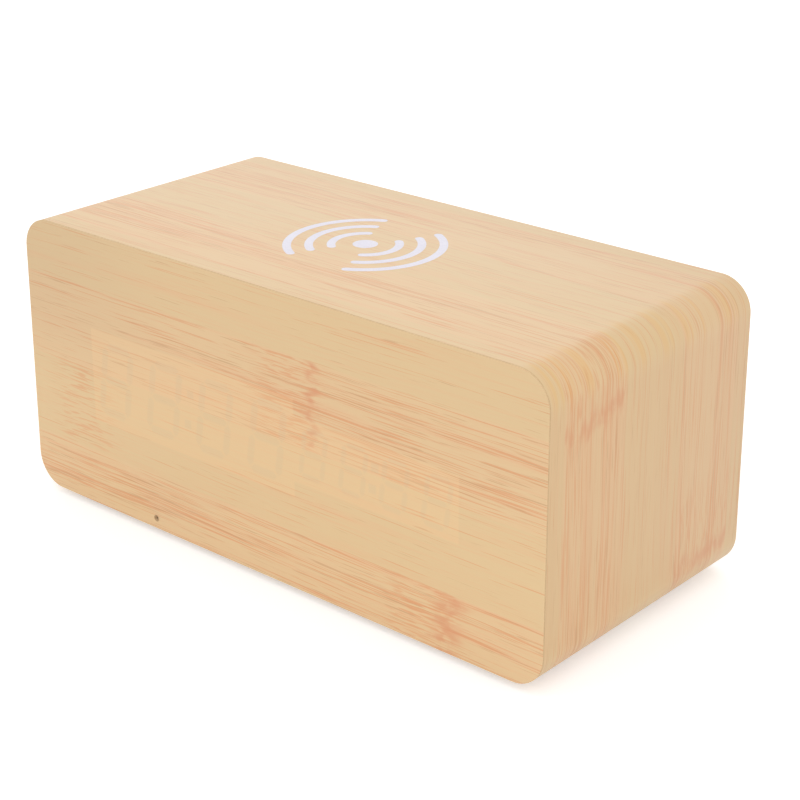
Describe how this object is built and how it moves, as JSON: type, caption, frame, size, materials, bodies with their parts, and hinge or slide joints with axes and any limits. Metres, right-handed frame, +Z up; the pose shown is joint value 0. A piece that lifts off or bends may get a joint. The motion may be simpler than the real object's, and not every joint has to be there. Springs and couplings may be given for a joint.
{
  "type": "desk clock",
  "caption": "Box-shaped bamboo-look desk alarm clock with a wireless charging top, hidden digits behind the front film and rear buttons.",
  "frame": {"origin": "centre of the footprint, on the surface that the feet stand on", "axes": "+X to the right seen from the front, -Y towards the viewer of the digits, +Z up"},
  "size_m": [0.15, 0.07, 0.068],
  "materials": {
    "bamboo_film": "satin bamboo-look film",
    "fibreboard": "raw wood-fibre board",
    "white_plastic": "white moulded",
    "black_plastic": "fine-textured black",
    "black_gloss": "smooth black",
    "board_green": "solder mask",
    "chip_black": "moulded package",
    "lamp_white": "small lamp body",
    "zinc": "zinc plated",
    "black_steel": "blackened steel",
    "steel": "bright steel",
    "nickel": "nickel plated spring steel",
    "copper": "enamelled copper",
    "ferrite": "sintered ferrite",
    "rubber": "soft black",
    "ribbon_grey": "soft insulation",
    "capacitor_tan": "ceramic body"
  },
  "bodies": {
    "case": {"case_shell": "fibreboard", "wrap_film": "bamboo_film", "front_film": "bamboo_film", "front_board": "fibreboard", "back_panel": "fibreboard", "back_film": "bamboo_film", "back_screws": "black_steel", "feet": "rubber", "light_guide": "white_plastic", "display_board": "board_green", "display_screws": "zinc", "segment_leds": "lamp_white", "clock_chip": "chip_black", "crystal": "steel", "microphone": "zinc", "microphone_leads": "nickel", "control_panel": "black_plastic", "panel_screws": "zinc", "switch_bodies": "chip_black", "main_board": "board_green", "board_screws": "zinc", "buzzer": "black_plastic", "usb_port": "steel", "usb_tongue": "black_gloss", "coin_holder": "black_plastic", "coin_cell": "steel", "temperature_sensor": "black_gloss", "charging_coil": "copper", "coil_leads": "copper", "ferrite_plate": "ferrite", "coil_carrier": "white_plastic", "carrier_screws": "zinc", "charger_board": "board_green", "charger_screws": "zinc", "charger_chip": "chip_black", "charger_inductor": "ferrite", "charger_capacitors": "capacitor_tan", "battery_tray": "black_plastic", "tray_screws": "black_steel", "battery_contacts": "nickel", "battery_springs": "nickel", "display_socket": "white_plastic", "main_socket": "white_plastic", "display_ribbon": "ribbon_grey", "battery_ribbon": "ribbon_grey", "charger_ribbon": "ribbon_grey"},
    "set_button": {"button_set": "black_gloss", "plunger_set": "chip_black"},
    "up_button": {"button_up": "black_gloss", "plunger_up": "chip_black"},
    "down_button": {"button_down": "black_gloss", "plunger_down": "chip_black"},
    "door": {"battery_door": "black_plastic"}
  },
  "joints": [
    {"name": "set_press", "type": "slide", "parent": "case", "child": "set_button", "axis": [0, -1, 0], "range_m": [0, 0.0005], "stiffness_N_per_m": 1500},
    {"name": "up_press", "type": "slide", "parent": "case", "child": "up_button", "axis": [0, -1, 0], "range_m": [0, 0.0005], "stiffness_N_per_m": 1500},
    {"name": "down_press", "type": "slide", "parent": "case", "child": "down_button", "axis": [0, -1, 0], "range_m": [0, 0.0005], "stiffness_N_per_m": 1500},
    {"name": "door_hinge", "type": "hinge", "parent": "case", "child": "door", "pos_m": [-0.0252, 0, 0.0024], "axis": [0, 1, 0], "range_deg": [0, 90]}
  ]
}
